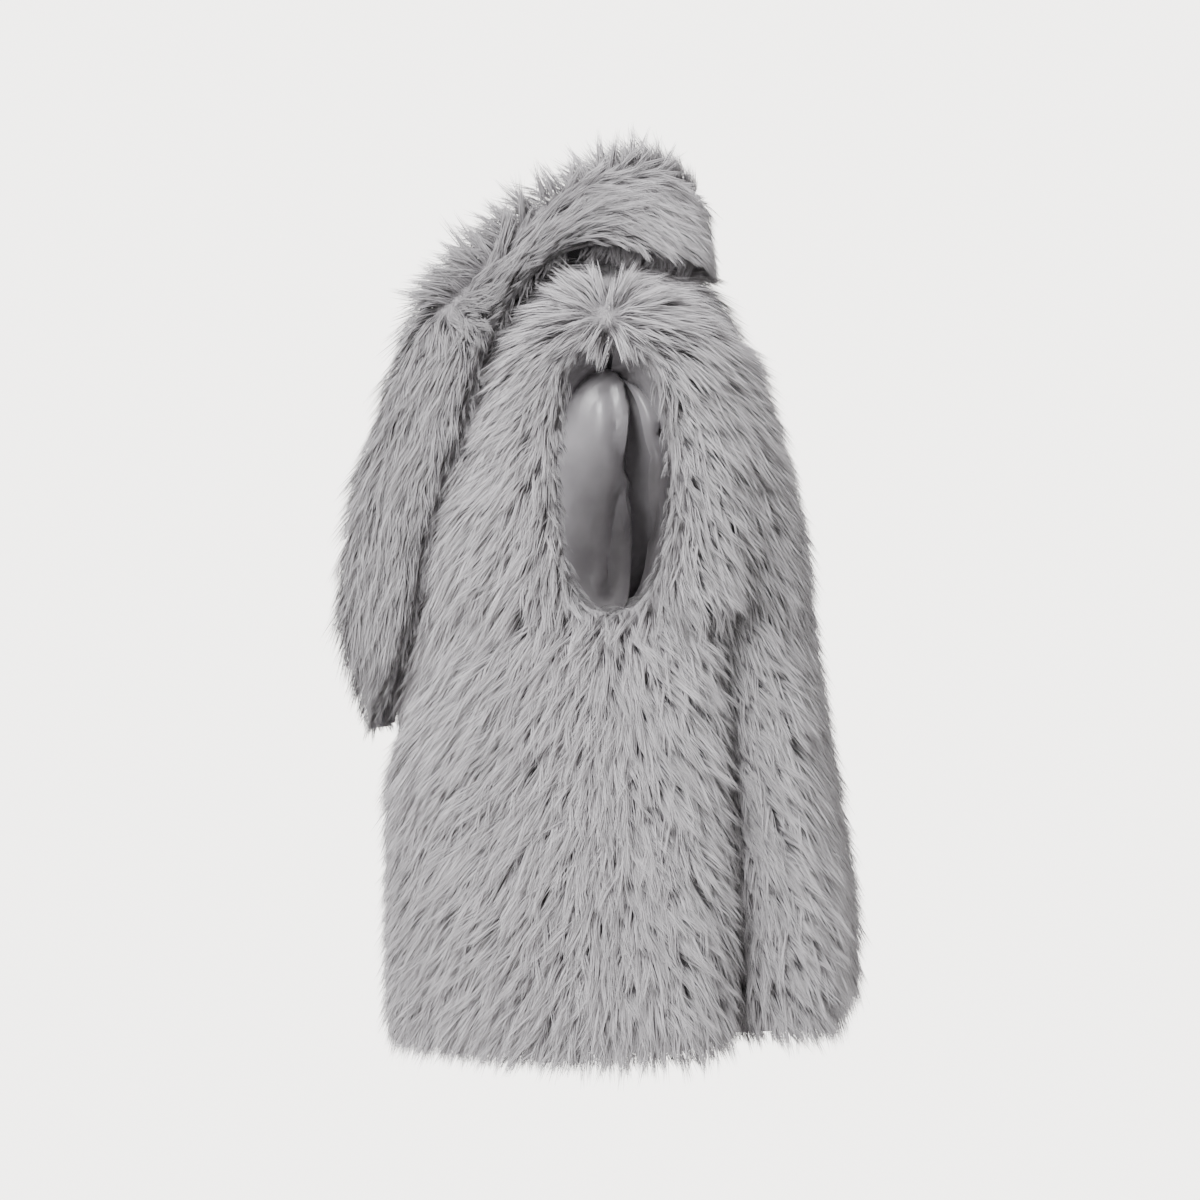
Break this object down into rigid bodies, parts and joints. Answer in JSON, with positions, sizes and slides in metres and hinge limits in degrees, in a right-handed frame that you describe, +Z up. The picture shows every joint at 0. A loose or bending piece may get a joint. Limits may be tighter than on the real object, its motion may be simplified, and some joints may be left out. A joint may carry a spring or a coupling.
{
  "type": "faux fur vest",
  "caption": "Sleeveless open-front faux fur vest with a turned-over shawl collar and satin lining, filled out as worn with open neck, armholes and hem.",
  "frame": {"origin": "middle of the neckline at the height of the shoulder seams' neck ends, where the wearer's shoulders hold the vest", "axes": "+Z up, -Y to the front, +X to the wearer's left"},
  "size_m": [0.5474, 0.488, 0.8143],
  "materials": {
    "fur": "long-pile faux fur",
    "satin": "satin"
  },
  "bodies": {
    "root": {"front_left": "fur", "front_right": "fur", "back": "fur", "collar_back": "fur", "lapel_left": "fur", "lapel_right": "fur", "lining_front_left": "satin", "lining_front_right": "satin", "lining_back": "satin"}
  },
  "joints": []
}
